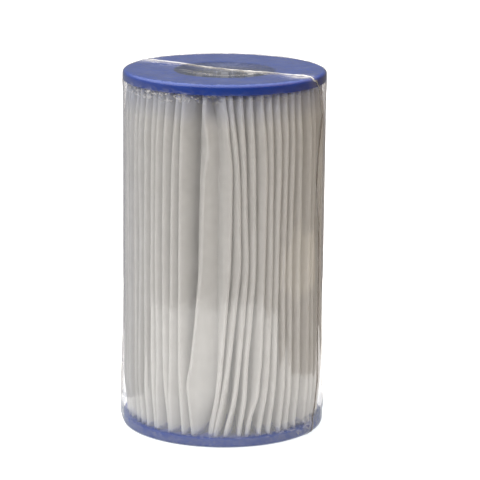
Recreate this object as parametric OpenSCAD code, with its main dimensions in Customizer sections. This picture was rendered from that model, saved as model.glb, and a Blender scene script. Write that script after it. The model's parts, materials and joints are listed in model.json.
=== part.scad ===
// Pleated filter cartridge for a pool or spa pump, still in its clear shrink wrap.
// The cartridge stands on its bottom end. The origin is at the centre of the wrap's underside,
// +Z runs along the bore, and -Y is the front. The wrap's weld is to the right of the front.

/* [Cartridge] */
// Outer diameter of the end caps
cap_d = 142; // [136:0.5:150]
// Length over the two end caps
cartridge_l = 254; // [200:1:300]
// Thickness of each end cap
cap_t = 6.5; // [5:0.5:10]
// Diameter of the hole in each end cap
bore_d = 71; // [66:0.5:72]
// Rounding of the outer edge of an end cap
cap_edge_r = 1.2; // [0.6:0.1:2]
// Rounding of the mouth of the hole
bore_mouth_r = 1; // [0.5:0.1:2]
// Depth to which the pleats and the cage are cast into a cap
potting_depth = 4; // [3:0.5:4]

/* [Pleated sheet] */
// Number of pleats
pleats = 56; // [48:1:58]
// Radius of the circle through the outer folds
fold_r = 68; // [62:0.5:68.5]
// Radius of the circle through the inner folds
root_r = 39.75; // [39.75:0.25:42]
// Thickness of the pleated sheet
sheet_t = 0.6; // [0.5:0.05:0.8]
// Half the outside width of a fold
fold_half_w = 1.2; // [1:0.05:1.25]
// Valley where the two ends of the sheet are joined, counted from +X towards +Y
joint_valley = 15; // [0:1:47]
// Height of the hot-melt bead above the bottom of its valley
joint_bead_h = 8; // [4:0.5:12]

/* [Cage] */
// Outer radius of the cage
cage_r = 39.25; // [39:0.05:39.25]
// Wall thickness of the cage
cage_wall = 2.5; // [2:0.1:2.5]
// Number of columns of slots, an even number
slot_columns = 12; // [8:2:16]
// Number of rows of slots in each of the two sections
slot_rows = 7; // [4:1:8]
// Width of a slot
slot_w = 14; // [6:0.5:14]
// Height of a slot
slot_h = 12; // [8:0.5:13]
// Length of the spigot that joins the two sections
spigot_l = 5; // [4:0.5:6]
// Radial clearance of the spigot in its socket
spigot_gap = 0.1; // [0.05:0.05:0.2]

/* [Shrink wrap] */
// Thickness that stands in for the film
wrap_t = 0.2; // [0.2:0.05:0.3]
// Clearance between the film and the end caps
wrap_gap = 0.3; // [0.3:0.05:0.5]
// Angle from +X of the welded side, with the fold opposite
weld_at = -32; // [-90:1:90]
// Width of the weld bead
weld_w = 0.8; // [0.6:0.1:1.2]
// Height by which the bead stands proud of the film
weld_proud = 0.4; // [0.2:0.1:0.6]
// Gap between the bead and the front half
weld_gap = 0.3; // [0.2:0.05:0.5]

/* [Hidden] */
$fn = 96;
eps = 1;  // overshoot of a cutting solid
pitch_angle = 360 / pleats;
joint_at = (joint_valley + 0.5) * pitch_angle;
fold_round = 0.7;  // height of the bevel that rounds a fold
fold_top_half_w = 0.55;  // half width of the top of a fold
fold_inside_half_w = fold_half_w - sheet_t;
joint_slit = 0.2;  // gap between the two ends of the sheet
joint_clear = 0.06;  // clearance between the hot-melt bead and the sheet
wrap_r = cap_d / 2 + wrap_gap + wrap_t;
wrap_h = cartridge_l + 2 * (wrap_gap + wrap_t);
wrap_edge_r = cap_edge_r + wrap_gap + wrap_t;
wrap_disc_r = wrap_r - wrap_edge_r;
back_gap = weld_w / 2;  // from the weld's middle plane to the back half
front_gap = weld_w / 2 + weld_gap;
cap_bottom_z = wrap_gap + wrap_t;
cap_top_z = cap_bottom_z + cartridge_l;
potted_bottom_z = cap_bottom_z + cap_t - potting_depth;
potted_top_z = cap_top_z - cap_t + potting_depth;
potted_l = potted_top_z - potted_bottom_z;
section_l = potted_l / 2;
cage_inner_r = cage_r - cage_wall;
spigot_r = cage_r - cage_wall / 2;
slot_pitch = (section_l - spigot_l) / slot_rows;

// A point at radius r, offset sideways from the ray at angle a by half_w
function beside(r, a, half_w) = [
    r * cos(a) - half_w * sin(a),
    r * sin(a) + half_w * cos(a)
];

// One face of the folded sheet as a closed outline. A fold here is the wide, rounded end of a pleat and
// a crease is its narrow end. Folds lie on whole pitches and creases halfway between them.
function outer_face() = [
    for (i = [0:pleats - 1])
        each [
            beside(fold_r - fold_round, i * pitch_angle, -fold_half_w),
            beside(fold_r, i * pitch_angle, -fold_top_half_w),
            beside(fold_r, i * pitch_angle, fold_top_half_w),
            beside(fold_r - fold_round, i * pitch_angle, fold_half_w),
            beside(root_r + sheet_t, (i + 0.5) * pitch_angle, -fold_inside_half_w),
            beside(root_r + sheet_t, (i + 0.5) * pitch_angle, fold_inside_half_w)
        ]
];

function inner_face() = [
    for (i = [0:pleats - 1])
        each [
            beside(fold_r - sheet_t, i * pitch_angle, -fold_inside_half_w),
            beside(fold_r - sheet_t, i * pitch_angle, fold_inside_half_w),
            beside(root_r + fold_round, (i + 0.5) * pitch_angle, -fold_half_w),
            beside(root_r, (i + 0.5) * pitch_angle, -fold_top_half_w),
            beside(root_r, (i + 0.5) * pitch_angle, fold_top_half_w),
            beside(root_r + fold_round, (i + 0.5) * pitch_angle, fold_half_w)
        ]
];

// The folded sheet, with a slit where its two ends meet
module folded_sheet() {
    linear_extrude(potted_l)
        difference() {
            polygon(outer_face());
            polygon(inner_face());
            rotate(joint_at)
                translate([root_r - eps, -joint_slit / 2])
                    square([2 * eps + sheet_t, joint_slit]);
        }
}

// Half outline of a disc or can with both outer edges rounded, from the axis outwards
module rounded_half(r, h, edge_r) {
    square([r - edge_r, h]);
    translate([0, edge_r])
        square([r, h - 2 * edge_r]);
    for (z = [edge_r, h - edge_r])
        translate([r - edge_r, z])
            circle(edge_r);
}

// Half outline of an end cap with its outer face down
module cap_outline() {
    bore_r = bore_d / 2;
    difference() {
        union() {
            translate([0, cap_edge_r])
                square([cap_d / 2, cap_t - cap_edge_r]);
            square([cap_d / 2 - cap_edge_r, cap_t]);
            translate([cap_d / 2 - cap_edge_r, cap_edge_r])
                circle(cap_edge_r);
        }
        translate([-eps, -eps])
            square([bore_r + eps, cap_t + 2 * eps]);
        difference() {
            translate([bore_r - eps, -eps])
                square([bore_mouth_r + eps, bore_mouth_r + eps]);
            translate([bore_r + bore_mouth_r, bore_mouth_r])
                circle(bore_mouth_r);
        }
    }
}

// A cast end cap with its outer face down at z = 0, hollowed where the pleats and the cage are cast in
module end_cap() {
    difference() {
        rotate_extrude()
            cap_outline();
        translate([0, 0, cap_t - potting_depth])
            folded_sheet();
        translate([0, 0, cap_t - potting_depth])
            difference() {
                cylinder(h = potting_depth + eps, r = cage_r);
                translate([0, 0, -eps])
                    cylinder(h = potting_depth + 3 * eps, r = cage_inner_r);
            }
    }
}

module bottom_end_cap() {
    color([0.13, 0.30, 0.74])
        translate([0, 0, cap_bottom_z])
            end_cap();
}

// The same casting mirrored to face up, so that its slots still meet the sheet
module top_end_cap() {
    color([0.13, 0.30, 0.74])
        translate([0, 0, cap_top_z])
            mirror([0, 0, 1])
                end_cap();
}

module pleated_media() {
    color([0.93, 0.93, 0.92])
        translate([0, 0, potted_bottom_z])
            folded_sheet();
}

// Half width at height h above its bottom of the valley between two pleats, less a clearance
function valley_half_w(h) =
    let (
        top_r = fold_r - fold_round,
        bottom_r = root_r + sheet_t,
        top_half_w = top_r * tan(pitch_angle / 2) - fold_half_w,
        share = h / (top_r - bottom_r)
    )
    fold_inside_half_w + share * (top_half_w - fold_inside_half_w) - joint_clear;

module media_joint_bead() {
    base_r = root_r + sheet_t + joint_clear;
    color([0.95, 0.94, 0.88])
        translate([0, 0, cap_bottom_z + cap_t])
            linear_extrude(cartridge_l - 2 * cap_t)
                polygon([
                    beside(base_r, joint_at, -valley_half_w(0)),
                    beside(base_r + joint_bead_h, joint_at, -valley_half_w(joint_bead_h)),
                    beside(base_r + joint_bead_h, joint_at, valley_half_w(joint_bead_h)),
                    beside(base_r, joint_at, valley_half_w(0))
                ]);
}

// A plain tube from z = 0
module tube(h, outer_r, inner_r) {
    difference() {
        cylinder(h = h, r = outer_r);
        translate([0, 0, -eps])
            cylinder(h = h + 2 * eps, r = inner_r);
    }
}

// The slots of one section, through the wall only, so that no two of them meet
module slots(first_z) {
    for (row = [0:slot_rows - 1])
        for (column = [0:slot_columns - 1])
            translate([0, 0, first_z + (row + 0.5) * slot_pitch])
                rotate((column + 0.5) * 360 / slot_columns)
                    translate([cage_inner_r - 2 * cage_wall, -slot_w / 2, -slot_h / 2])
                        cube([4 * cage_wall, slot_w, slot_h]);
}

// Lower half of the cage, with a spigot at its top
module core_lower() {
    color([0.86, 0.87, 0.88])
        translate([0, 0, potted_bottom_z])
            difference() {
                union() {
                    tube(section_l, cage_r, cage_inner_r);
                    tube(section_l + spigot_l, spigot_r - spigot_gap, cage_inner_r);
                }
                slots(0);
            }
}

// Upper half of the cage, with a socket at its bottom
module core_upper() {
    color([0.86, 0.87, 0.88])
        translate([0, 0, potted_bottom_z + section_l])
            difference() {
                tube(section_l, cage_r, cage_inner_r);
                translate([0, 0, -eps])
                    cylinder(h = spigot_l + spigot_gap + eps, r = spigot_r);
                slots(spigot_l);
            }
}

// Outline of the film round the side of the cartridge, with the rounded edge at each end
module wrap_wall_outline() {
    intersection() {
        difference() {
            rounded_half(wrap_r, wrap_h, wrap_edge_r);
            translate([0, wrap_t])
                rounded_half(wrap_r - wrap_t, wrap_h - 2 * wrap_t, wrap_edge_r - wrap_t);
        }
        translate([wrap_disc_r, 0])
            square([2 * wrap_edge_r, wrap_h]);
    }
}

// Everything more than gap in front of (side = -1) or behind (side = 1) the plane through the weld
module one_side(side, gap) {
    reach = cap_d + wrap_h;
    rotate(weld_at)
        translate([-reach / 2, side > 0 ? gap : -gap - reach, -eps])
            cube([reach, reach, wrap_h + 2 * eps]);
}

module half_wall(side, gap) {
    intersection() {
        rotate_extrude()
            wrap_wall_outline();
        one_side(side, gap);
    }
}

// The flat of the film over one end, which carries on from the wall's rounded edge
module half_disc(side, gap, z) {
    intersection() {
        translate([0, 0, z])
            cylinder(h = wrap_t, r = wrap_disc_r);
        one_side(side, gap);
    }
}

module wrap_front_wall() {
    color([0.80, 0.88, 0.95, 0.35])
        half_wall(-1, front_gap);
}

module wrap_front_top() {
    color([0.80, 0.88, 0.95, 0.35])
        half_disc(-1, front_gap, wrap_h - wrap_t);
}

module wrap_front_bottom() {
    color([0.80, 0.88, 0.95, 0.35])
        half_disc(-1, front_gap, 0);
}

module wrap_back_wall() {
    color([0.75, 0.84, 0.93, 0.35])
        half_wall(1, back_gap);
}

module wrap_back_top() {
    color([0.75, 0.84, 0.93, 0.35])
        half_disc(1, back_gap, wrap_h - wrap_t);
}

module wrap_back_bottom() {
    color([0.75, 0.84, 0.93, 0.35])
        half_disc(1, back_gap, 0);
}

// Full outline of the can in the weld's plane
module rounded_outline(r, h, edge_r) {
    rounded_half(r, h, edge_r);
    mirror([1, 0])
        rounded_half(r, h, edge_r);
}

// The weld across the top, down one side and across the bottom, flush with the film's underside
module wrap_seal_bead() {
    fold_end = wrap_r - 3 * wrap_edge_r;
    color([0.90, 0.94, 0.98, 0.5])
        rotate(weld_at)
            rotate([90, 0, 0])
                translate([0, 0, -weld_w / 2])
                    linear_extrude(weld_w)
                        difference() {
                            rounded_outline(wrap_r + weld_proud, wrap_h + weld_proud, wrap_edge_r);
                            translate([0, wrap_t])
                                rounded_outline(wrap_r - wrap_t, wrap_h - 2 * wrap_t, wrap_edge_r - wrap_t);
                            translate([-fold_end - cap_d, -eps])
                                square([cap_d, wrap_h + 3 * eps]);
                        }
}

bottom_end_cap();
top_end_cap();
pleated_media();
media_joint_bead();
core_lower();
core_upper();
wrap_front_wall();
wrap_front_top();
wrap_front_bottom();
wrap_back_wall();
wrap_back_top();
wrap_back_bottom();
wrap_seal_bead();
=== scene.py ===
import json
import math

import bpy
import numpy as np
from mathutils import Matrix, Vector, noise


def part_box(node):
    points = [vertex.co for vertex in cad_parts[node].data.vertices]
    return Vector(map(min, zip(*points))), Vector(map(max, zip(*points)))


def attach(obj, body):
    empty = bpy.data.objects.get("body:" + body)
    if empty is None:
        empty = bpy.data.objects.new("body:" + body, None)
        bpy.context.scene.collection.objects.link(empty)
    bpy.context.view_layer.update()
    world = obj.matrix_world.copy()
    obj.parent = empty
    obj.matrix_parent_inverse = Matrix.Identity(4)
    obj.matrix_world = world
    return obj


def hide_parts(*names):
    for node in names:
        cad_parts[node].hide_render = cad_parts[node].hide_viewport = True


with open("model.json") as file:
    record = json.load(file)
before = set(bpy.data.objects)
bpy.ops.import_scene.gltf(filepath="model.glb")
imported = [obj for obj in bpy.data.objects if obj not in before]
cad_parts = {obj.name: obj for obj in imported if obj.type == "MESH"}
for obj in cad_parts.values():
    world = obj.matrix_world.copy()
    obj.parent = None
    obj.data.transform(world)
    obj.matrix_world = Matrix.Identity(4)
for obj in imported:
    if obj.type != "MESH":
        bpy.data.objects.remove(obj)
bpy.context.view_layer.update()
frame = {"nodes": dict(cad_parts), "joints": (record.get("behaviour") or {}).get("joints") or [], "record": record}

MM = 0.001

# ---------------------------------------------------------------- sizes, from the frame

CAP_LOW, CAP_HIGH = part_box("bottom_end_cap")
TOP_LOW, TOP_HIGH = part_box("top_end_cap")
_, MEDIA_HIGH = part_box("pleated_media")
_, CAGE_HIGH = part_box("core_lower")

CAP_R = CAP_HIGH.x
CAP_T = CAP_HIGH.z - CAP_LOW.z
BORE_R = next(m for m in frame["record"]["mounts"] if m["name"] == "top_bore")["dims"]["r_mm"] * MM
FOLD_R = MEDIA_HIGH.x            # tips of the folds next to the caps
ROOT_R = CAGE_HIGH.x + 0.5 * MM  # creases that touch the cage
SEEN_LOW = CAP_HIGH.z            # the pleats show between these two heights
SEEN_HIGH = TOP_LOW.z
FILM_GAP = 0.4 * MM              # from a cap to the middle of the film
FILM_R = CAP_R + FILM_GAP
FILM_LOW = CAP_LOW.z - FILM_GAP
FILM_HIGH = TOP_HIGH.z + FILM_GAP
EDGE_R = 2.0 * MM                # rounding of a cap's outer edge
MOUTH_R = 1.0 * MM               # rounding of a cap's bore

# The weld runs down the side opposite the hinge that stands for the fold. Angles round the cartridge
# are in degrees from the front (-Y) towards +X.
HINGE = next(j for j in frame["joints"] if j["name"] == "wrap_front_hinge")["pos_m"]
FOLD_SIDE = math.degrees(math.atan2(HINGE[0], -HINGE[1])) % 360.0
WELD_SIDE = FOLD_SIDE - 180.0


def on_circle(r, degrees, z):
    """The point at radius r, at this angle from the front."""
    a = math.radians(degrees)
    return (r * math.sin(a), -r * math.cos(a), z)


def smooth(x):
    x = min(max(x, 0.0), 1.0)
    return x * x * (3.0 - 2.0 * x)


def bump(x, centre, half_width):
    """1 at the centre, falling smoothly to 0 at half_width to either side."""
    return smooth(1.0 - abs(x - centre) / half_width)


def turn_from(degrees, centre):
    """The signed angle from centre, between -180 and 180."""
    return (degrees - centre + 180.0) % 360.0 - 180.0


def wander(x, y, seed):
    """Smooth noise between about -1 and 1, a new field for each seed."""
    return noise.noise(Vector((x, y, 17.31 * seed)))


# ---------------------------------------------------------------- node helpers


class Nodes:
    """A node tree with short calls for adding and joining nodes."""

    def __init__(self, tree):
        self.tree = tree
        self.tree.nodes.clear()

    def add(self, kind, **settings):
        node = self.tree.nodes.new(kind)
        for key, value in settings.items():
            if key in node.bl_rna.properties:
                setattr(node, key, value)
            else:
                node.inputs[key.replace("_", " ")].default_value = value
        return node

    def join(self, source, node, socket):
        self.tree.links.new(source, node.inputs[socket])

    def position(self):
        return self.add("ShaderNodeTexCoord").outputs["Object"]

    def scaled(self, source, scale):
        node = self.add("ShaderNodeMapping")
        node.inputs["Scale"].default_value = scale
        self.join(source, node, "Vector")
        return node.outputs["Vector"]

    def noise(self, source, scale, detail=3.0, roughness=0.55, distortion=0.0):
        settings = {"Scale": scale, "Detail": detail, "Roughness": roughness, "Distortion": distortion}
        node = self.add("ShaderNodeTexNoise", **settings)
        self.join(source, node, "Vector")
        return node.outputs["Fac"]

    def ramp(self, source, stops):
        node = self.add("ShaderNodeValToRGB")
        band = node.color_ramp.elements
        while len(band) < len(stops):
            band.new(0.5)
        for element, (place, colour) in zip(band, stops):
            element.position = place
            element.color = (*colour, 1.0)
        self.join(source, node, "Fac")
        return node.outputs["Color"]

    def span(self, source, low, high, to_low=0.0, to_high=1.0):
        """The source's range from low to high stretched to another range, and held at its two ends."""
        node = self.add("ShaderNodeMapRange", clamp=True)
        sockets = ("From Min", "From Max", "To Min", "To Max")
        for socket, value in zip(sockets, (low, high, to_low, to_high)):
            node.inputs[socket].default_value = value
        self.join(source, node, "Value")
        return node.outputs["Result"]

    def blend(self, factor, first, colour):
        """The first colour turning into the other one as the factor goes from 0 to 1."""
        node = self.add("ShaderNodeMix", data_type="RGBA")
        self.tree.links.new(factor, node.inputs[0])
        if isinstance(first, tuple):
            node.inputs[6].default_value = (*first, 1.0)
        else:
            self.tree.links.new(first, node.inputs[6])
        node.inputs[7].default_value = (*colour, 1.0)
        return node.outputs[2]

    def maths(self, operation, a, b):
        node = self.add("ShaderNodeMath", operation=operation)
        for index, value in enumerate((a, b)):
            if isinstance(value, (int, float)):
                node.inputs[index].default_value = value
            else:
                self.tree.links.new(value, node.inputs[index])
        return node.outputs[0]

    def square(self, value):
        return self.maths("MULTIPLY", value, value)

    def product(self, first, second):
        """Two colours multiplied."""
        node = self.add("ShaderNodeMix", data_type="RGBA", blend_type="MULTIPLY")
        node.inputs[0].default_value = 1.0
        self.tree.links.new(first, node.inputs[6])
        self.tree.links.new(second, node.inputs[7])
        return node.outputs[2]

    def bumped(self, height, strength, distance):
        node = self.add("ShaderNodeBump", Strength=strength, Distance=distance)
        self.join(height, node, "Height")
        return node.outputs["Normal"]

    def mix(self, factor, first, second):
        """The first shader turning into the second one as the factor goes from 0 to 1."""
        node = self.add("ShaderNodeMixShader")
        if isinstance(factor, float):
            node.inputs["Fac"].default_value = factor
        else:
            self.join(factor, node, "Fac")
        self.tree.links.new(first, node.inputs[1])
        self.tree.links.new(second, node.inputs[2])
        return node.outputs[0]


class Shade(Nodes):
    """A material and its node tree."""

    def __init__(self, name):
        self.mat = bpy.data.materials.new(name)
        self.mat.use_nodes = True
        super().__init__(self.mat.node_tree)
        self.out = self.add("ShaderNodeOutputMaterial")

    def body(self, colour, roughness, normal, **settings):
        """The surface of a solid piece."""
        node = self.add("ShaderNodeBsdfPrincipled", **settings)
        self.join(colour, node, "Base Color")
        self.join(roughness, node, "Roughness")
        self.join(normal, node, "Normal")
        return node.outputs[0]

    def finish(self, shader):
        self.tree.links.new(shader, self.out.inputs["Surface"])
        return self.mat


# ---------------------------------------------------------------- materials


# Blue next to the caps: a pale tint, partly casting in the sheet and partly painted blue bounce light from the
# caps, and a deep band, partly casting soaked in and partly painted shade deep between the folds.
# Heights and depths are in metres.
TINT_AND_BOUNCE_COLOUR = (0.60, 0.66, 0.84)
TINT_RAGGED = 0.008              # by how much clouding moves the tint's edge
TINT_TOP = (-0.018, 0.004)       # heights over the top cap's inner face between which the tint grows
TINT_TOP_SHARE = 0.55
TINT_FOOT = (0.004, 0.011)       # heights over the bottom cap's inner face between which it fades
TINT_FOOT_SHARE = 0.6
SOAKED_AND_SHADE_COLOUR = (0.10, 0.19, 0.60)
SOAKED_AND_SHADE_FADE = (-0.001, 0.002)    # the band's edge is this soft
SOAKED_AND_SHADE_TOP_SHARE = 0.75
SOAKED_AND_SHADE_FOOT_SHARE = 0.85
SOAKED_AND_SHADE_DEEP = 0.022              # depth between the folds where the band is highest
SOAKED_AND_SHADE_CLIMB = 0.45              # height of the band for its depth
SOAKED_AND_SHADE_RAGGED = 0.007


def media_tint_and_bounce(s, height, clouds):
    """Share of the pale tint up the sheet from each cap: casting left in the sheet, and painted blue bounce light
    from the cap.
    """
    ragged = s.maths("ADD", height, s.maths("MULTIPLY", clouds, TINT_RAGGED))
    top_from, top_to = TINT_TOP
    foot_from, foot_to = TINT_FOOT
    at_top = s.span(ragged, SEEN_HIGH + top_from, SEEN_HIGH + top_to, 0.0, TINT_TOP_SHARE)
    at_foot = s.span(ragged, SEEN_LOW + foot_from, SEEN_LOW + foot_to, TINT_FOOT_SHARE, 0.0)
    return s.maths("MAXIMUM", at_top, at_foot)


def media_soaked_and_shade(s, place, split):
    """Share of the deep band, soaked-in casting and painted shade, which climbs higher the deeper it is between
    the folds.
    """
    radius = s.maths("POWER", s.maths("ADD", s.square(split["X"]), s.square(split["Y"])), 0.5)
    depth = s.span(radius, FOLD_R - 0.020, FOLD_R + 0.002, SOAKED_AND_SHADE_DEEP, 0.0)
    spots = s.noise(place, 260.0, detail=3.0)
    uneven = s.maths("MULTIPLY", s.maths("SUBTRACT", spots, 0.5), SOAKED_AND_SHADE_RAGGED)
    climb = s.maths("ADD", s.maths("MULTIPLY", depth, SOAKED_AND_SHADE_CLIMB), uneven)
    over_foot = s.maths("SUBTRACT", split["Z"], SEEN_LOW)
    under_top = s.maths("SUBTRACT", SEEN_HIGH, split["Z"])
    foot = s.span(s.maths("SUBTRACT", over_foot, climb), *SOAKED_AND_SHADE_FADE, SOAKED_AND_SHADE_FOOT_SHARE, 0.0)
    top = s.span(s.maths("SUBTRACT", under_top, climb), *SOAKED_AND_SHADE_FADE, SOAKED_AND_SHADE_TOP_SHARE, 0.0)
    return s.maths("MAXIMUM", foot, top)


def media_material():
    """White spunbonded polyester: matt, fibrous, a little light coming through the sheet."""
    s = Shade("spunbonded_polyester")
    place = s.position()
    upright = s.scaled(place, (1.0, 1.0, 0.35))
    fibres = s.noise(upright, 1400.0, detail=5.0, roughness=0.7, distortion=0.6)
    blotches = s.noise(place, 90.0, detail=4.0, roughness=0.6)
    clouds = s.noise(s.scaled(place, (1.0, 1.0, 0.25)), 22.0, detail=2.0)
    mottled = s.maths("ADD", s.maths("MULTIPLY", blotches, 0.6), s.maths("MULTIPLY", clouds, 0.4))
    whites = [(0.3, (0.885, 0.88, 0.865)), (0.55, (0.925, 0.92, 0.91)), (0.75, (0.95, 0.945, 0.94))]
    split_node = s.add("ShaderNodeSeparateXYZ")
    s.join(place, split_node, "Vector")
    split = split_node.outputs
    # Pale blue next to the caps: casting in the sheet, and painted blue bounce light from the caps.
    colour = s.blend(media_tint_and_bounce(s, split["Z"], clouds), s.ramp(mottled, whites), TINT_AND_BOUNCE_COLOUR)
    # Deep blue band: soaked-in casting, and painted shade deep between the folds.
    colour = s.blend(media_soaked_and_shade(s, place, split), colour, SOAKED_AND_SHADE_COLOUR)
    normal = s.bumped(s.maths("ADD", fibres, s.maths("MULTIPLY", blotches, 0.8)), 0.35, 0.00025)
    sheen = {"Sheen Weight": 0.15, "Sheen Roughness": 0.6, "Specular IOR Level": 0.25}
    body = s.body(colour, s.span(fibres, 0.3, 0.7, 0.78, 0.95), normal, **sheen)
    through = s.add("ShaderNodeBsdfTranslucent")
    s.join(colour, through, "Color")
    s.join(normal, through, "Normal")
    return s.finish(s.mix(0.5, body, through.outputs[0]))


def cap_material():
    """Blue cast polyurethane: satin, with faint clouding and flow marks."""
    s = Shade("cast_polyurethane_blue")
    place = s.position()
    clouds = s.noise(place, 60.0, detail=4.0, roughness=0.55, distortion=0.4)
    blues = [(0.25, (0.002, 0.038, 0.32)), (0.55, (0.003, 0.050, 0.37)), (0.8, (0.006, 0.068, 0.43))]
    grain = s.noise(place, 1800.0, detail=2.0)
    flow = s.noise(s.scaled(place, (1.0, 1.0, 3.0)), 160.0, detail=3.0, roughness=0.5, distortion=0.8)
    height = s.maths("ADD", s.maths("MULTIPLY", grain, 0.25), flow)
    shine = {"Specular IOR Level": 0.22}
    roughness = s.span(flow, 0.3, 0.7, 0.28, 0.46)
    return s.finish(s.body(s.ramp(clouds, blues), roughness, s.bumped(height, 0.3, 0.0003), **shine))


def cage_material():
    """Natural moulded polypropylene."""
    s = Shade("moulded_polypropylene")
    place = s.position()
    clouds = s.noise(place, 45.0, detail=3.0)
    greys = [(0.3, (0.42, 0.44, 0.48)), (0.7, (0.50, 0.52, 0.56))]
    grain = s.noise(place, 1500.0, detail=2.0)
    roughness = s.span(clouds, 0.3, 0.7, 0.42, 0.56)
    return s.finish(s.body(s.ramp(clouds, greys), roughness, s.bumped(grain, 0.25, 0.0002)))


def glue_material():
    """Hot-melt adhesive: creamy, waxy and uneven."""
    s = Shade("hot_melt_adhesive")
    lumps = s.noise(s.position(), 300.0, detail=3.0)
    creams = [(0.3, (0.74, 0.70, 0.58)), (0.7, (0.84, 0.82, 0.74))]
    roughness = s.span(lumps, 0.3, 0.7, 0.3, 0.5)
    return s.finish(s.body(s.ramp(lumps, creams), roughness, s.bumped(lumps, 0.5, 0.0006)))


FILM_IOR = 1.9                   # two faces of thin film reflect more than one
SLANTED = (0.66, 0.97)           # light at this much of a slant is dulled by the film: partly less light passing, partly painted shade for the dim reflections at its edges


def film_reflectance(s, normal):
    """The share of light that the film mirrors, the same from either side of it."""
    side = s.add("ShaderNodeNewGeometry")
    fresnel = s.add("ShaderNodeFresnel")
    s.join(s.span(side.outputs["Backfacing"], 0.0, 1.0, FILM_IOR, 1.0 / FILM_IOR), fresnel, "IOR")
    s.join(normal, fresnel, "Normal")
    return fresnel.outputs[0]


def film_material(name, rough, clear_colour, slant_shade_colour):
    """Clear shrink film: see-through and shiny, with a milky haze where it is crinkled, and darker where it is
    seen at a slant: partly less light passing, partly painted shade.
    """
    s = Shade(name)
    place = s.position()
    upright = s.scaled(place, (1.0, 1.0, 0.3))
    ripples = s.noise(upright, 130.0, detail=3.0, roughness=0.55, distortion=0.5)
    creases = s.noise(place, 420.0, detail=4.0, roughness=0.6, distortion=1.2)
    normal = s.bumped(s.maths("ADD", ripples, s.maths("MULTIPLY", creases, 0.12)), 0.16, 0.0009)
    slant = s.add("ShaderNodeLayerWeight", Blend=0.5)
    clear = s.add("ShaderNodeBsdfTransparent")
    slanted = s.span(slant.outputs["Facing"], *SLANTED)
    # Seen at a slant, what shows through turns to the edge colour: painted shade, as well as the film passing less
    # light.
    s.join(s.blend(slanted, clear_colour, slant_shade_colour), clear, "Color")
    shine = s.add("ShaderNodeBsdfAnisotropic", Roughness=rough, Color=(1.0, 1.0, 1.0, 1.0))
    s.join(normal, shine, "Normal")
    glossy = s.mix(film_reflectance(s, normal), clear.outputs[0], shine.outputs[0])
    milk = s.add("ShaderNodeBsdfDiffuse", Color=(0.87, 0.86, 0.85, 1.0))
    s.join(normal, milk, "Normal")
    crinkled = s.add("ShaderNodeAttribute", attribute_name="haze")
    scuffs = s.span(s.noise(place, 70.0, detail=5.0, roughness=0.65), 0.35, 0.7, 0.75, 1.3)
    haze = s.maths("MULTIPLY", crinkled.outputs["Fac"], scuffs)
    return s.finish(s.mix(haze, glossy, milk.outputs[0]))


def stage_material(name, colour, glow):
    s = Shade(name)
    body = s.add("ShaderNodeBsdfPrincipled", Roughness=0.9)
    body.inputs["Specular IOR Level"].default_value = 0.1
    body.inputs["Base Color"].default_value = (*colour, 1.0)
    body.inputs["Emission Color"].default_value = (*colour, 1.0)
    body.inputs["Emission Strength"].default_value = glow
    return s.finish(body.outputs[0])


# ---------------------------------------------------------------- mesh helpers


def make_mesh(name, points, faces, material, smooth_shading=True):
    mesh = bpy.data.meshes.new(name)
    mesh.from_pydata([tuple(p) for p in points], [], faces)
    mesh.validate()
    mesh.materials.append(material)
    if smooth_shading:
        mesh.polygons.foreach_set("use_smooth", [True] * len(mesh.polygons))
    obj = bpy.data.objects.new(name, mesh)
    bpy.context.scene.collection.objects.link(obj)
    return obj


def grid_faces(rows, columns, wrap_columns=False, wrap_rows=False, flip=False):
    """Quads of a grid whose points are stored row by row."""
    faces = []
    for i in range(rows if wrap_rows else rows - 1):
        for j in range(columns if wrap_columns else columns - 1):
            a, b = i * columns + j, i * columns + (j + 1) % columns
            c, d = ((i + 1) % rows) * columns + (j + 1) % columns, ((i + 1) % rows) * columns + j
            faces.append((a, d, c, b) if flip else (a, b, c, d))
    return faces


def closed_tube(rows, around):
    """Faces of a tube of this many rings, with its two ends closed."""
    faces = grid_faces(rows, around, wrap_columns=True)
    faces.append(tuple(range(around - 1, -1, -1)))
    faces.append(tuple(range((rows - 1) * around, rows * around)))
    return faces


# ---------------------------------------------------------------- the pleats

PLEATS = 56
PITCH = 360.0 / PLEATS
FIRST_FOLD = -12.6               # angle of fold 0
FOLD_HALF = 1.25 * MM            # half the width of a rounded fold
SHEET_T = 0.5 * MM
POTTED = 2.0 * MM                # depth to which the sheet runs into a cap
JOINT_CREASE = 27                # the crease at the back where the two ends of the sheet are joined
SHEET_ROWS = 58                  # rows up the sheet

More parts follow.
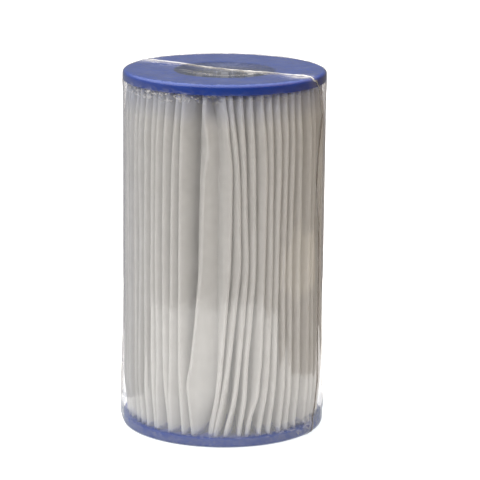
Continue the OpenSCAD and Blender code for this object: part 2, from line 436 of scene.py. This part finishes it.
# How far the folds in front lean to the right of their even places, in degrees, at these shares of the
# height. The others lean a little at random.
LEAN_HEIGHTS = (0.0, 0.1, 0.2, 0.5, 0.8, 1.0)
LEANS = {
    -8: (2.5, 2.5, 2.5, 2.5, 3.0, 2.5),
    -7: (1.5, 1.5, 1.0, 1.5, 1.0, 1.0),
    -6: (1.0, 1.0, 1.0, 0.0, 0.5, 0.5),
    -5: (1.0, 1.0, 0.5, -0.5, 0.0, 0.0),
    -4: (-3.5, -3.0, -2.5, -3.0, -3.0, -2.5),
    -3: (-1.0, -2.0, -3.5, -4.5, -4.0, -3.0),
    -2: (-6.5, -6.5, -6.0, -5.5, -4.5, -2.5),
    -1: (-4.5, -5.5, -6.5, -6.5, -6.0, -5.0),
    0: (-4.5, -7.0, -5.5, 0.5, 1.5, 1.0),
    1: (-1.0, 2.5, 5.0, 9.5, 10.0, 5.0),
    2: (-5.0, -0.5, 3.0, 9.0, 7.5, 3.0),
    3: (-5.5, 0.0, 2.5, 7.0, 5.0, 2.5),
    4: (-3.5, 0.0, 0.5, 5.0, 4.0, 2.0),
    5: (-5.5, -1.0, 2.5, 4.0, 5.0, 2.0),
    6: (-4.0, -1.0, 1.0, 2.5, 2.5, 1.0),
    7: (-4.0, -2.0, -1.0, 0.0, 1.5, 0.0),
    8: (-3.0, -1.5, -1.0, -2.0, -0.5, -0.5),
    9: (-4.0, -3.0, -2.5, -3.5, -2.5, -1.5),
    10: (-3.5, -3.0, -2.5, -3.0, -2.5, -2.5),
}
# Dents: fold, share of the height, half height and degrees to the right
DENTS = ((0, 0.85, 0.10, 2.4), (0, 0.16, 0.07, -1.2), (1, 0.93, 0.06, 0.6), (5, 0.12, 0.06, 1.0))

LEAN_STEPS = 60                  # steps from foot to top in a rounded curve
LEAN_MARGIN = 6                  # steps past either end, cut off after rounding
LEAN_ROUNDING = 11               # steps over which a corner is rounded
LEAN_FINE = np.linspace(0.0, 1.0, LEAN_STEPS + 1)
LEAN_CURVES = {}                 # the curves worked out so far


def lean_curve(row):
    """The row's values on LEAN_FINE, joined with rounded corners."""
    if row not in LEAN_CURVES:
        past = LEAN_MARGIN / LEAN_STEPS
        places = np.linspace(-past, 1.0 + past, LEAN_STEPS + 2 * LEAN_MARGIN + 1)
        straight = np.interp(places, LEAN_HEIGHTS, row)
        kernel = np.hanning(LEAN_ROUNDING)
        rounded = np.convolve(straight, kernel / kernel.sum(), mode="same")
        LEAN_CURVES[row] = rounded[LEAN_MARGIN:LEAN_MARGIN + LEAN_STEPS + 1]
    return LEAN_CURVES[row]


def lean(fold, t):
    """Degrees by which a fold leans to the right at the share t of the height."""
    stray = 0.5 * wander(3.0 * t, 1.7 * fold, 1) + 0.25 * wander(9.0 * t, 1.7 * fold, 2)
    if fold not in LEANS:
        return 1.6 * wander(1.1 * t, 0.9 * fold, 3) + 1.6 * wander(0.3, 0.45 * fold, 4) + stray
    row = LEANS[fold]
    dents = sum(d * bump(t, at, half) for f, at, half, d in DENTS if f == fold)
    return float(np.interp(t, LEAN_FINE, lean_curve(row))) + dents + 0.4 * stray


BOW = 2.2                        # millimetres by which the folds bow out halfway up
FOLD_HELD = 0.14                 # share of the height over which a fold is held back by a cap
CREASE_HELD = 0.13               # the same for a crease
INSIDE_FILM = 0.45               # millimetres by which a fold stays inside the film


def fold_place(fold, t):
    """Angle and radius of a fold's tip. Between the caps the folds bow out until the film holds them."""
    angle = FIRST_FOLD + fold * PITCH + lean(fold, t)
    wave = 0.6 * wander(2.2 * t, 2.3 * fold, 5) + 0.4 * wander(7.0 * t, 2.3 * fold, 6)
    free = smooth(min(t, 1.0 - t) / FOLD_HELD)
    radius = FOLD_R + (BOW + wave) * free * MM
    film, _ = wall_shape(angle, SEEN_LOW + t * (SEEN_HIGH - SEEN_LOW))
    return angle, min(radius, FILM_R + (film - INSIDE_FILM) * MM)


# Creases that the leaning folds drag along between the caps: degrees to the right and millimetres outwards
DRAGGED = {-5: (-1.0, 0.0), -1: (-3.0, 8.0), 0: (6.0, 20.0), 1: (3.0, 8.0), 2: (2.5, 7.0), 3: (2.0, 7.0)}
SHALLOW = 7.0                    # millimetres outwards for the creases near the front
SHALLOW_FOLDS = 16.0             # how many folds from the front this tapers off


def crease_place(fold, t):
    """Angle and radius of the crease after this fold."""
    wave = 0.5 * wander(2.0 * t, 1.9 * (fold % PLEATS), 7)
    aside, outwards = DRAGGED.get(fold, (0.0, 0.0))
    outwards = max(outwards, SHALLOW * bump(fold, 0.0, SHALLOW_FOLDS))
    free = smooth(min(t, 1.0 - t) / CREASE_HELD)
    angle = FIRST_FOLD + (fold + 0.5) * PITCH + wave + aside * free
    return angle, ROOT_R + (0.3 + 0.3 * abs(wave) + outwards * (0.65 + 0.35 * free)) * MM


FLANK_STEPS = (0.82, 0.55, 0.26)     # shares of the way from crease to fold
FLANK_CURVE = 1.35                   # how much of a lean is near the fold
# Rounding: across, in half widths of a fold, and millimetres inwards at a fold or outwards at a crease
FOLD_ROUNDING = ((-1.0, 1.1), (-0.62, 0.32), (0.0, 0.0), (0.62, 0.32), (1.0, 1.1))
CREASE_ROUNDING = ((-0.5, 0.6), (0.0, 0.0), (0.5, 0.6))


def flank_place(fold_at, crease_at, share, side, t, number):
    """A point on the flank between a crease and a fold; side is 1 after the fold and -1 before it."""
    (fold_a, fold_r), (crease_a, crease_r) = fold_at, crease_at
    r = crease_r + share * (fold_r - crease_r)
    edge = side * math.degrees(FOLD_HALF / r)
    crease_edge = -side * math.degrees(0.5 * FOLD_HALF / r)
    drift = (fold_a + edge - crease_a - crease_edge) * share ** FLANK_CURVE
    belly = 0.9 * wander(1.8 * t, 3.1 * number + 11.0 * side, 8) * math.sin(math.pi * share)
    return crease_a + crease_edge + drift + belly, r


def sheet_section(t):
    """(angle, radius) of each point across the whole sheet at the share t of the height."""
    first = JOINT_CREASE + 1 - PLEATS
    section = []
    for k in range(first, first + PLEATS):
        fold_a, fold_r = fold_place(k, t)
        before, after = crease_place(k - 1, t), crease_place(k, t)
        for share in reversed(FLANK_STEPS):
            section.append(flank_place((fold_a, fold_r), before, share, -1, t, k))
        for offset, drop in FOLD_ROUNDING:
            section.append((fold_a + math.degrees(offset * FOLD_HALF / fold_r), fold_r - drop * MM))
        for share in FLANK_STEPS:
            section.append(flank_place((fold_a, fold_r), after, share, 1, t, k))
        if k < first + PLEATS - 1:
            for offset, rise in CREASE_ROUNDING:
                a = after[0] + math.degrees(offset * FOLD_HALF / after[1])
                section.append((a, after[1] + rise * MM))
    return section


def build_media(material):
    """The folded sheet, potted in both caps."""
    low, high = SEEN_LOW - POTTED, SEEN_HIGH + POTTED
    points, columns = [], 0
    for i in range(SHEET_ROWS):
        z = low + (high - low) * i / (SHEET_ROWS - 1)
        t = (z - SEEN_LOW) / (SEEN_HIGH - SEEN_LOW)
        section = sheet_section(min(max(t, 0.0), 1.0))
        columns = len(section)
        points += [on_circle(r, a, z) for a, r in section]
    media = make_mesh("pleated_sheet", points, grid_faces(SHEET_ROWS, columns), material)
    shell = media.modifiers.new("sheet thickness", "SOLIDIFY")
    shell.thickness = SHEET_T
    shell.offset = 0.0
    shell.use_even_offset = False
    return media


def declare_sheet():
    """The points across the sheet halfway up, which nothing uses. The sheet was cut as one rectangle, as wide as
    its section is long once the folds are pulled out.
    """
    points = [Vector(on_circle(r, a, 0.0)) for a, r in sheet_section(0.5)]


BEAD_ROWS = 40                   # rings up the hot-melt bead
BEAD_WIDTH = 1.3 * MM
BEAD_HEIGHT = 7.5                # millimetres outwards from the crease
# The bead's outline, in widths across and heights outwards
BEAD_OUTLINE = ((-0.25, 0.15), (-0.6, 0.65), (-0.45, 1.0), (0.45, 1.0), (0.6, 0.65), (0.25, 0.15))


def build_joint_bead(material):
    """The hot-melt bead in the crease where the sheet's ends meet."""
    points = []
    for i in range(BEAD_ROWS):
        t = i / (BEAD_ROWS - 1)
        z = SEEN_LOW + t * (SEEN_HIGH - SEEN_LOW)
        a, r = crease_place(JOINT_CREASE, t)
        height = (BEAD_HEIGHT + 0.8 * wander(14.0 * t, 0.0, 9)) * MM
        for across, up in BEAD_OUTLINE:
            points.append(on_circle(r + up * height, a + math.degrees(across * BEAD_WIDTH / r), z))
    faces = closed_tube(BEAD_ROWS, len(BEAD_OUTLINE))
    return make_mesh("sheet_joint_bead", points, faces, material)


# ---------------------------------------------------------------- end caps


CAP_AROUND = 288                 # points round a cap


def arc(centre_r, centre_z, radius, start, stop, steps):
    """(radius, height) along an arc from one angle to another, in degrees."""
    points = []
    for i in range(steps + 1):
        a = math.radians(start + (stop - start) * i / steps)
        points.append((centre_r + radius * math.cos(a), centre_z + radius * math.sin(a)))
    return points


def cap_profile():
    """Closed outline (radius, height over the outer face) of a cap, anticlockwise with that face down."""
    outline = arc(BORE_R + MOUTH_R, MOUTH_R, MOUTH_R, 180, 270, 4)
    outline += [(r, 0.0) for r in np.linspace(BORE_R + 2.2 * MM, CAP_R - 3.6 * MM, 12)]
    outline += [(CAP_R - 3.0 * MM, 0.12 * MM), (CAP_R - 2.4 * MM, 0.0)]
    outline += arc(CAP_R - EDGE_R, EDGE_R, EDGE_R, 270, 360, 5)
    outline += [(CAP_R, 0.45 * CAP_T), (CAP_R, 0.7 * CAP_T)]
    outline += arc(CAP_R - 0.5 * MM, CAP_T - 0.5 * MM, 0.5 * MM, 0, 90, 3)
    outline += [(r, CAP_T) for r in np.linspace(CAP_R - 1.5 * MM, BORE_R + 1.4 * MM, 14)]
    outline += [(BORE_R, CAP_T - 0.2 * MM), (BORE_R, 0.5 * CAP_T)]
    return outline


def build_cap(name, base_z, facing, material):
    """facing is 1 for the bottom cap, whose outer face is down, and -1 for the top one."""
    outline = cap_profile()
    points = []
    for j in range(CAP_AROUND):
        a = 360.0 * j / CAP_AROUND
        for r, h in outline:
            inner = smooth((h - 0.6 * CAP_T) / (0.4 * CAP_T))
            outer = 1.0 - smooth(h / (0.3 * CAP_T))
            wick = 0.45 * inner * (0.5 + 0.5 * wander(0.12 * a, 90.0 * r, 10))
            cast = 0.10 * outer * wander(0.05 * a, 60.0 * r, 11)
            points.append(on_circle(r, a, base_z + facing * (h + (wick + cast) * MM)))
    faces = grid_faces(CAP_AROUND, len(outline), wrap_columns=True, wrap_rows=True, flip=facing > 0)
    return make_mesh(name, points, faces, material)


# ---------------------------------------------------------------- the film

FILM_EDGE_R = EDGE_R + FILM_GAP
HALF_STEPS = 330                 # columns round one half of the film
WALL_ROWS = 130                  # rows down its wall
TOP_RINGS = 26                   # rings on its two flat discs
BOTTOM_RINGS = 16
INNER_RING = 0.015               # radius of the innermost ring, as a share of the flat disc's
ROWS_CROWDED = 0.11              # how much finer the wall's rows are near the two rims

HAZE = 0.13                      # milkiness of the film where it spans the pleats
CLEAR_HAZE = 0.004               # and where it lies flat on something
WALL_HELD = 14.0                 # millimetres over which the wall's film is held by a cap
WAIST = -0.40                    # millimetres outwards, between the caps
# Sides where the film is slack or gathered, as angles from the front
SLACK_SIDES = ((-90.0, 60.0), (85.0, 55.0))      # each with the half width of its slack
GATHERED_SIDE = -50.0
# Corners that stick out: side, whether at the foot, height and size in millimetres
EARS = ((WELD_SIDE, True, -2.0, 1.4), (-88.0, True, 1.0, 1.0), (WELD_SIDE, False, -4.0, 0.8))


def film_path():
    """(part, radius, height) down one meridian of the film: top, rim, wall, rim, bottom."""
    flat_r = FILM_R - FILM_EDGE_R
    path = []
    for i in range(TOP_RINGS):
        share = INNER_RING + (1.0 - INNER_RING) * i / (TOP_RINGS - 1)
        path.append(("top", flat_r * share, FILM_HIGH))
    wall_low, wall_high = FILM_LOW + FILM_EDGE_R, FILM_HIGH - FILM_EDGE_R
    path += [("top_rim", r, z) for r, z in arc(flat_r, wall_high, FILM_EDGE_R, 78, 12, 3)]
    for i in range(WALL_ROWS):
        u = i / (WALL_ROWS - 1)
        share = u - ROWS_CROWDED * math.sin(2.0 * math.pi * u)
        path.append(("wall", FILM_R, wall_high - share * (wall_high - wall_low)))
    path += [("bottom_rim", r, z) for r, z in arc(flat_r, wall_low, FILM_EDGE_R, -12, -78, 3)]
    for i in range(BOTTOM_RINGS):
        share = 1.0 - (1.0 - INNER_RING) * i / (BOTTOM_RINGS - 1)
        path.append(("bottom", flat_r * share, FILM_LOW))
    return path


def ridged(x, y, seed):
    """Noise with sharp crests, as in crumpled film, between 0 and 1."""
    return 1.0 - min(1.0, 2.2 * abs(wander(x, y, seed)))


def wall_gathers(a, z, under, over, aside):
    """The gathered bands under the top rim and over the bottom one: (strength, crests) of each."""
    gathered = 0.22 + 0.60 * bump(turn_from(a, GATHERED_SIDE), 0.0, 55.0)
    band = bump(under, 1.5, 7.0) * gathered
    crests = ridged(0.42 * a + 1.5 * math.sin(900.0 * z), 320.0 * z, 14)
    by_weld = bump(turn_from(a, WELD_SIDE), 0.0, 40.0)
    low_band = bump(over, 0.0, 7.0) * (0.25 + 0.55 * by_weld + 0.4 * aside)
    low_crests = ridged(0.38 * a, 280.0 * z, 15)
    return (band, crests), (low_band, low_crests)


def wall_ears(a, under, over):
    """Millimetres by which the corners stick out at the weld and opposite it."""
    ears = 0.0
    for side, at_foot, height, size in EARS:
        from_cap = over if at_foot else under
        ears += size * bump(turn_from(a, side), 0.0, 7.0) * bump(from_cap, height, 9.0)
    return ears


def wall_shape(a, z):
    """Millimetres outwards and haze, for a point of the film's wall at angle a."""
    under = (TOP_HIGH.z - CAP_T - z) / MM          # below the top cap
    over = (z - CAP_LOW.z - CAP_T) / MM            # above the bottom cap
    free = smooth(under / WALL_HELD) * smooth(over / WALL_HELD)
    waist = WAIST * free
    folds = 0.40 * free * wander(0.13 * a, 4.0 * z, 12) + 0.22 * free * wander(0.35 * a, 9.0 * z, 13)
    aside = sum(bump(turn_from(a, side), 0.0, half) for side, half in SLACK_SIDES)
    slack = 1.9 * aside * bump(over, 16.0, 75.0) * (0.2 + 0.8 * smooth(over / 10.0))
    (band, crests), (low_band, low_crests) = wall_gathers(a, z, under, over, aside)
    gathers = 0.7 * band * crests + 0.5 * low_band * low_crests
    ears = wall_ears(a, under, over)
    off = waist + folds + slack + gathers + ears
    on_cap = smooth((max(-under, -over) + 1.0) / 2.0)
    off = max(off, -0.2) * on_cap + off * (1.0 - on_cap)
    haze = CLEAR_HAZE + HAZE * smooth((min(under, over) + 2.0) / 9.0)
    haze += 1.1 * band * crests ** 3 * (1.0 - 0.6 * on_cap) + 0.12 * min(1.0, ears)
    frays = ridged(0.9 * a, 420.0 * z, 27)
    haze += smooth((1.5 - over) / 3.5) * (0.07 + 0.14 * frays ** 2) + 0.25 * low_band * low_crests ** 2
    return off, haze


CRUMPLE_AT = 62.0 * MM           # from the axis to the crumpled spots at the two ends of the weld
CRUMPLE_R = 7.0 * MM
CRUMPLES = ((1.0, 0.9), (-1.0, 0.5))     # which end, and how much
BORE_SAG = -2.2                  # millimetres outwards, over the bore
REST_DEPTH = 0.15                # millimetres by which the film dips onto a cap
UNDER_SHARE = 0.4                # how much flatter the film is under the foot


def flat_crumple(along, across):
    """How crumpled the film is near the two ends of the weld."""
    crumple = 0.0
    for end, size in CRUMPLES:
        near = math.hypot(along - end * CRUMPLE_AT, across)
        crumple += size * math.exp(-((near / CRUMPLE_R) ** 2))
    return crumple


def flat_shape(a, r, top):
    """Millimetres out of the end face and haze, for a point of the film over one end."""
    x, y, _ = on_circle(r, a, 0.0)
    weld = math.radians(WELD_SIDE)
    along = x * math.sin(weld) - y * math.cos(weld)
    across = x * math.cos(weld) + y * math.sin(weld)
    over_bore = 1.0 - smooth((r / BORE_R - 0.35) / 0.6)
    sag = BORE_SAG * over_bore * (0.35 + 0.65 * smooth(abs(across) / (14.0 * MM)))
    ripple = 0.16 * wander(230.0 * x, 230.0 * y, 16) + 0.08 * wander(600.0 * x, 600.0 * y, 17)
    pull = 0.30 * math.exp(-abs(across) / (3.0 * MM)) * (0.7 + 0.6 * wander(260.0 * along, 0.0, 18))
    edge = smooth((r / FILM_R - 0.72) / 0.28)
    creases = 0.22 * edge * ridged(0.22 * a, 3.0, 19)
    crumple = flat_crumple(along, across)
    crests = ridged(300.0 * x, 300.0 * y, 20)
    off = (sag if top else UNDER_SHARE * sag) + ripple + pull + creases + 0.7 * crumple * crests
    if not top:
        off = min(REST_DEPTH, UNDER_SHARE * off)
    if r > BORE_R:
        off = max(off, -REST_DEPTH)
    smears = 0.5 + 0.5 * wander(90.0 * x, 90.0 * y, 25)
    at_weld = math.exp(-abs(across) / (1.1 * MM))
    haze = CLEAR_HAZE + 0.035 * smears ** 2 + 0.04 * over_bore + 0.35 * at_weld
    haze += crumple * (0.35 + 0.65 * crests ** 2)
    return off, haze


def film_point(part, r, z, a):
    """Place and haze of one point of the film."""
    if part == "wall":
        off, haze = wall_shape(a, z)
        return on_circle(r + off * MM, a, z), haze
    top = part.startswith("top")
    if part.endswith("rim"):
        off, haze = wall_shape(a, z)
        off = max(off, -0.1)
        return on_circle(r + 0.5 * off * MM, a, z + (0.3 * off * MM if top else 0.0)), haze
    off, haze = flat_shape(a, r, top)
    return on_circle(r, a, z + (off if top else -off) * MM), haze


def add_haze(piece, hazes):
    """The haze of each point, which the film's material reads."""
    layer = piece.data.attributes.new("haze", "FLOAT", "POINT")
    layer.data.foreach_set("value", hazes)


def build_film_half(name, start, material):
    """One half of the film, from the angle start through 180 degrees."""
    path = film_path()
    points, hazes = [], []
    for j in range(HALF_STEPS + 1):
        a = start + 180.0 * j / HALF_STEPS
        for part, r, z in path:
            place, haze = film_point(part, r, z, a)
            points.append(place)
            hazes.append(haze)
    film = make_mesh(name, points, grid_faces(HALF_STEPS + 1, len(path)), material)
    add_haze(film, hazes)
    return film


# Where the weld strays to as it runs down the side: height over the foot in millimetres and angle
WELD_HEIGHTS = (0.0, 8.0, 40.0, 100.0, 150.0, 180.0, 200.0, 225.0, 246.0, 255.0)
WELD_ANGLES = (0.0, 3.0, 9.0, 11.0, 10.0, 5.5, 7.0, 13.0, 7.0, 0.5)
WELD_RING = 8                    # points round the weld
WELD_INSET = 6.0 * MM            # from the film's far edge to where the weld starts
BLOB_AT = Vector(on_circle(61.0 * MM, WELD_SIDE, FILM_HIGH))     # where the film has melted into a lump
BLOB_R = 5.0 * MM


def weld_angle(z):
    return WELD_SIDE + 0.4 + float(np.interp(z / MM, WELD_HEIGHTS, WELD_ANGLES))


def weld_route():
    """(part, radius, height, angle) across the top, down the welded side and across the bottom."""
    path = film_path()
    reach = FILM_R - WELD_INSET
    route = [("top", r, z, FOLD_SIDE) for part, r, z in path if part == "top" and r < reach]
    route.reverse()
    for part, r, z in path:
        angle = weld_angle(z) if part == "wall" else WELD_SIDE
        route.append((part, r, z, angle))
    return route


def weld_stands(part, a):
    """The direction in which the weld stands up from the film."""
    outwards = Vector(on_circle(1.0, a, 0.0)) if part == "wall" or part.endswith("rim") else Vector()
    upwards = {"wall": 0, "top": 1, "top_rim": 1}.get(part, -1)
    return (outwards + Vector((0, 0, upwards))).normalized()


def weld_size(i, part, centre):
    """Half width, height, shift to one side and haze of the weld at point i of its route."""
    wide = (0.55 + 0.30 * wander(0.45 * i, 0.0, 21)) * MM
    tall = (0.42 + 0.40 * abs(wander(0.6 * i, 5.0, 22))) * MM
    if part.startswith("bottom"):
        tall *= 0.3
    shift = (0.5 * wander(0.12 * i, 9.0, 23) + 0.25 * wander(0.9 * i, 4.0, 26)) * MM
    dashes = smooth(0.5 + 1.6 * wander(0.33 * i, 2.0, 24))
    blob = math.exp(-(((centre - BLOB_AT).length / BLOB_R) ** 2))
    wide *= 1.0 + 1.2 * blob
    on_top = part.startswith("top")
    haze = min(1.0, 0.35 + 0.65 * dashes + blob) if on_top else 0.04 + 0.10 * dashes
    return wide, tall, shift, haze


def build_weld(material):
    """The ridge of melted film along the weld."""
    route = weld_route()
    centres = [Vector(film_point(part, r, z, a)[0]) for part, r, z, a in route]
    points, hazes = [], []
    for i, (part, _, _, a) in enumerate(route):
        out = weld_stands(part, a)
        ahead = centres[min(i + 1, len(centres) - 1)] - centres[max(i - 1, 0)]
        across = ahead.cross(out).normalized()
        wide, tall, shift, haze = weld_size(i, part, centres[i])
        hazes += [haze] * WELD_RING
        for k in range(WELD_RING):
            w = 2.0 * math.pi * k / WELD_RING
            aside = across * (shift + wide * math.cos(w))
            points.append(centres[i] + aside + out * (tall * (0.6 + math.sin(w))))
    weld = make_mesh("film_weld", points, closed_tube(len(route), WELD_RING), material)
    add_haze(weld, hazes)
    return weld


# ---------------------------------------------------------------- assembly


def nodes_of(piece):
    return [node for node in frame["nodes"] if node.startswith(piece)]


def assemble_cartridge():
    blue, white = cap_material(), media_material()
    bottom = build_cap("bottom_cap_casting", CAP_LOW.z, 1, blue)
    top = build_cap("top_cap_casting", TOP_HIGH.z, -1, blue)
    media = build_media(white)
    bead = build_joint_bead(glue_material())
    for piece, node, slot in (
        (bottom, "bottom_end_cap", "end_cap"),
        (top, "top_end_cap", "end_cap"),
        (media, "pleated_media", "media"),
        (bead, "media_joint_bead", "hot_melt"),
    ):
        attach(piece, "cartridge")
        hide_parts(node)
    declare_sheet()

    cage = cage_material()
    for node in ("core_lower", "core_upper"):
        materials = frame["nodes"][node].data.materials
        materials.clear()
        materials.append(cage)


def assemble_film():
    film = film_material("shrink_film", 0.035, (0.965, 0.966, 0.968), (0.60, 0.57, 0.55))
    melted = film_material("melted_film", 0.16, (0.62, 0.59, 0.57), (0.35, 0.33, 0.31))
    front = build_film_half("film_front", FOLD_SIDE - 360.0, film)
    back = build_film_half("film_back", WELD_SIDE, film)
    weld = build_weld(melted)
    for piece, nodes, body, slot in (
        (front, nodes_of("wrap_front"), "wrap_front", "wrap"),
        (back, nodes_of("wrap_back"), "wrap_back", "wrap"),
        (weld, ("wrap_seal_bead",), "wrap_back", "wrap_weld"),
    ):
        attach(piece, body)
        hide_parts(*nodes)


# ---------------------------------------------------------------- studio


FLOOR_Z = FILM_LOW - 0.35 * MM   # just under the film's lowest points
FLOOR_HALF = 12.0                # metres from the middle of the floor to its edge
GLOW_OVER_FLOOR = 0.2 * MM
AIM = (0.0, 0.0, 0.13)           # where the lamps point

# The room's colours: places are the direction's height, depth or side, from -1 to 1
ROOM_BY_HEIGHT = (
    (-0.5, (0.26, 0.26, 0.26)), (0.0, (0.28, 0.28, 0.28)),
    (0.32, (0.26, 0.26, 0.27)), (0.75, (1.3, 1.3, 1.3)),
)
ROOM_BY_DEPTH = ((-0.9, (0.34, 0.31, 0.28)), (-0.2, (0.90, 0.88, 0.85)), (0.6, (0.92, 0.98, 1.12)))
ROOM_BY_SIDE = ((-0.8, (1.4, 1.38, 1.36)), (0.1, (1.0, 1.0, 1.0)), (0.7, (0.72, 0.52, 0.31)))

# Outline of the bright sheet of table that the film mirrors, in metres from the cartridge's axis
TABLE_SHEET = (
    (-0.43, -0.07), (-0.36, -0.28), (-0.19, -0.43), (0.0, -0.47),
    (0.15, -0.45), (0.31, -0.34), (0.34, -0.23), (0.27, -0.12),
    (0.22, -0.08), (0.22, -0.01), (0.20, 0.05), (0.22, 0.17),
    (0.16, 0.42), (-0.12, 0.42), (-0.10, 0.06), (-0.18, -0.05),
)
# A warmer, dimmer strip further off to the right
FAR_STRIP = ((0.46, -0.17), (0.55, -0.22), (0.78, -0.06), (0.60, 0.30), (0.42, 0.26))
SHADE_R = 0.103                  # the table is in the cartridge's shade this near to the axis
SHADE_POINTS = 48                # corners of that round patch


def area_light(name, place, size, power, colour):
    """A lamp that the film doesn't mirror: what shows in the film is the room and the glowing sheets."""
    light = bpy.data.lights.new(name, "AREA")
    light.shape = "RECTANGLE"
    light.size, light.size_y = size
    light.energy = power
    light.color = colour
    lamp = bpy.data.objects.new(name, light)
    lamp.location = place
    lamp.rotation_mode = "QUATERNION"
    lamp.rotation_quaternion = (Vector(AIM) - Vector(place)).to_track_quat("-Z", "Y")
    lamp.visible_glossy = False
    bpy.context.scene.collection.objects.link(lamp)


def room_ramp(n, source, stops):
    """A colour ramp over one coordinate of a direction, from -1 to 1."""
    return n.ramp(n.span(source, -1.0, 1.0), [(0.5 + 0.5 * place, colour) for place, colour in stops])


def soft_room():
    """A bright ceiling over a dim room that is cool behind, brown in front and warmer on the right."""
    world = bpy.data.worlds.new("studio")
    world.use_nodes = True
    bpy.context.scene.world = world
    n = Nodes(world.node_tree)
    split = n.add("ShaderNodeSeparateXYZ")
    n.join(n.add("ShaderNodeTexCoord").outputs["Generated"], split, "Vector")
    height = room_ramp(n, split.outputs["Z"], ROOM_BY_HEIGHT)
    depth = room_ramp(n, split.outputs["Y"], ROOM_BY_DEPTH)
    side = room_ramp(n, split.outputs["X"], ROOM_BY_SIDE)
    room = n.add("ShaderNodeBackground")
    n.join(n.product(n.product(height, depth), side), room, "Color")
    backdrop = n.add("ShaderNodeBackground", Color=(1.0, 1.0, 1.0, 1.0))
    seen = n.add("ShaderNodeLightPath").outputs["Is Camera Ray"]
    both = n.mix(seen, room.outputs[0], backdrop.outputs[0])
    n.join(both, n.add("ShaderNodeOutputWorld"), "Surface")


def light_sheet(name, outline, z, strength, colour, gap=0.0):
    """A glowing sheet that lights the cartridge and shows in the film, but is not itself in the picture.
    With a gap, it is a ring round a circle of that radius about the axis."""
    s = Shade(name)
    glow = s.add("ShaderNodeEmission", Color=(*colour, 1.0), Strength=strength)
    points = [(x, y, z) for x, y in outline]
    faces = [tuple(range(len(outline)))]
    if gap:
        points += [(x * gap / math.hypot(x, y), y * gap / math.hypot(x, y), z) for x, y in outline]
        faces = grid_faces(2, len(outline), wrap_columns=True)
    sheet = make_mesh(name, points, faces, s.finish(glow.outputs[0]), smooth_shading=False)
    sheet.visible_camera = False
    sheet.visible_shadow = False


def build_floor():
    """A pale floor that neither lights the cartridge nor shows in the film."""
    corners = [(x * FLOOR_HALF, y * FLOOR_HALF, FLOOR_Z) for x, y in ((-1, -1), (1, -1), (1, 1), (-1, 1))]
    pale = stage_material("pale_floor", (0.97, 0.97, 0.97), 0.4)
    floor = make_mesh("floor", corners, [(0, 1, 2, 3)], pale, smooth_shading=False)
    floor.visible_glossy = False
    floor.visible_diffuse = False


def build_studio():
    build_floor()
    glow_z = FLOOR_Z + GLOW_OVER_FLOOR
    shade = [on_circle(SHADE_R, 360.0 * k / SHADE_POINTS, 0.0)[:2] for k in range(SHADE_POINTS)]
    light_sheet("table_sheet", TABLE_SHEET, glow_z, 1.45, (1.0, 0.99, 0.97), SHADE_R)
    light_sheet("shaded_table", shade, glow_z, 0.6, (0.90, 0.97, 1.06))
    light_sheet("far_strip", FAR_STRIP, glow_z, 0.75, (1.0, 0.84, 0.60))
    soft_room()
    area_light("key", (-0.75, -1.6, 2.3), (0.6, 0.6), 34.0, (1.0, 0.98, 0.95))
    area_light("fill", (0.9, -2.1, 0.9), (1.2, 1.2), 5.0, (1.0, 0.90, 0.78))
    area_light("overhead", (0.0, 0.4, 2.4), (1.6, 1.2), 29.0, (1.0, 0.985, 0.96))


# The camera, solved for from the outline of the rims and sides in the photo
CAMERA_BACK = 1.746              # metres in front of the cartridge's axis
CAMERA_UP = 0.5395               # metres over its foot
CAMERA_DOWN = 0.2292             # its turns, in radians
CAMERA_RIGHT = 0.0067
CAMERA_ROLL = 0.0091
LENS = 189.6                     # focal length in millimetres, for the sensor below
SENSOR = 36.0


def build_camera():
    data = bpy.data.cameras.new("camera")
    data.lens = LENS
    data.sensor_width = SENSOR
    data.clip_start = 0.05
    camera = bpy.data.objects.new("camera", data)
    turn = Matrix.Rotation(-CAMERA_RIGHT, 4, "Z")
    tilt = Matrix.Rotation(math.pi / 2.0 - CAMERA_DOWN, 4, "X")
    roll = Matrix.Rotation(CAMERA_ROLL, 4, "Z")
    camera.matrix_world = Matrix.Translation((0.0, -CAMERA_BACK, CAMERA_UP)) @ turn @ tilt @ roll
    bpy.context.scene.collection.objects.link(camera)
    bpy.context.scene.camera = camera


build_camera()
assemble_cartridge()
assemble_film()
build_studio()
bpy.context.scene.view_settings.view_transform = "Standard"
